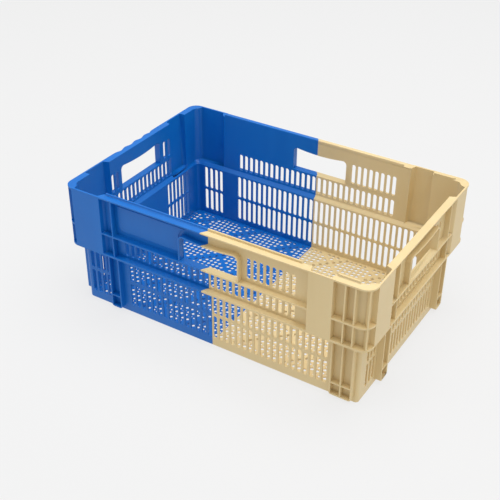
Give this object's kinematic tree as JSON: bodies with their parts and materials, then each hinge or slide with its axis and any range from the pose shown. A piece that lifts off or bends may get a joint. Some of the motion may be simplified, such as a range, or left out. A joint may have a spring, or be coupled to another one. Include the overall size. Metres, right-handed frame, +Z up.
{
  "type": "stacking crate",
  "caption": "Rectangular two-colour plastic stacking crate, stepped slotted walls, four hand holes, ribbed corners and a perforated floor.",
  "frame": {"origin": "centre of the footprint, on the ground plane", "axes": "+X along the long side towards the beige end, +Y towards the rear long wall, +Z up"},
  "size_m": [0.6, 0.4, 0.244],
  "materials": {
    "blue_plastic": "satin injection-moulded polyethylene, blue",
    "beige_plastic": "satin injection-moulded polyethylene, beige"
  },
  "bodies": {
    "root": {"beige_end_front_post": "beige_plastic", "beige_end_grip": "beige_plastic", "beige_end_ledge": "beige_plastic", "beige_end_lower_wall": "beige_plastic", "beige_end_outer_ribs": "beige_plastic", "beige_end_rail": "beige_plastic", "beige_end_rear_post": "beige_plastic", "beige_end_upper_wall": "beige_plastic", "beige_end_vent_band": "beige_plastic", "beige_floor": "beige_plastic", "beige_front_corner": "beige_plastic", "beige_front_grip": "beige_plastic", "beige_front_ledge": "beige_plastic", "beige_front_lower_corner": "beige_plastic", "beige_front_lower_post": "beige_plastic", "beige_front_lower_wall": "beige_plastic", "beige_front_outer_rib": "beige_plastic", "beige_front_rail": "beige_plastic", "beige_front_upper_wall": "beige_plastic", "beige_front_vent_band": "beige_plastic", "beige_rear_corner": "beige_plastic", "beige_rear_grip": "beige_plastic", "beige_rear_ledge": "beige_plastic", "beige_rear_lower_corner": "beige_plastic", "beige_rear_lower_post": "beige_plastic", "beige_rear_lower_wall": "beige_plastic", "beige_rear_outer_rib": "beige_plastic", "beige_rear_rail": "beige_plastic", "beige_rear_upper_wall": "beige_plastic", "beige_rear_vent_band": "beige_plastic", "blue_end_front_post": "blue_plastic", "blue_end_grip": "blue_plastic", "blue_end_ledge": "blue_plastic", "blue_end_lower_wall": "blue_plastic", "blue_end_outer_ribs": "blue_plastic", "blue_end_rail": "blue_plastic", "blue_end_rear_post": "blue_plastic", "blue_end_upper_wall": "blue_plastic", "blue_end_vent_band": "blue_plastic", "blue_floor": "blue_plastic", "blue_front_corner": "blue_plastic", "blue_front_grip": "blue_plastic", "blue_front_ledge": "blue_plastic", "blue_front_lower_corner": "blue_plastic", "blue_front_lower_post": "blue_plastic", "blue_front_lower_wall": "blue_plastic", "blue_front_outer_ribs": "blue_plastic", "blue_front_rail": "blue_plastic", "blue_front_upper_wall": "blue_plastic", "blue_front_vent_band": "blue_plastic", "blue_rear_corner": "blue_plastic", "blue_rear_grip": "blue_plastic", "blue_rear_ledge": "blue_plastic", "blue_rear_lower_corner": "blue_plastic", "blue_rear_lower_post": "blue_plastic", "blue_rear_lower_wall": "blue_plastic", "blue_rear_outer_ribs": "blue_plastic", "blue_rear_rail": "blue_plastic", "blue_rear_upper_wall": "blue_plastic", "blue_rear_vent_band": "blue_plastic"}
  },
  "joints": []
}
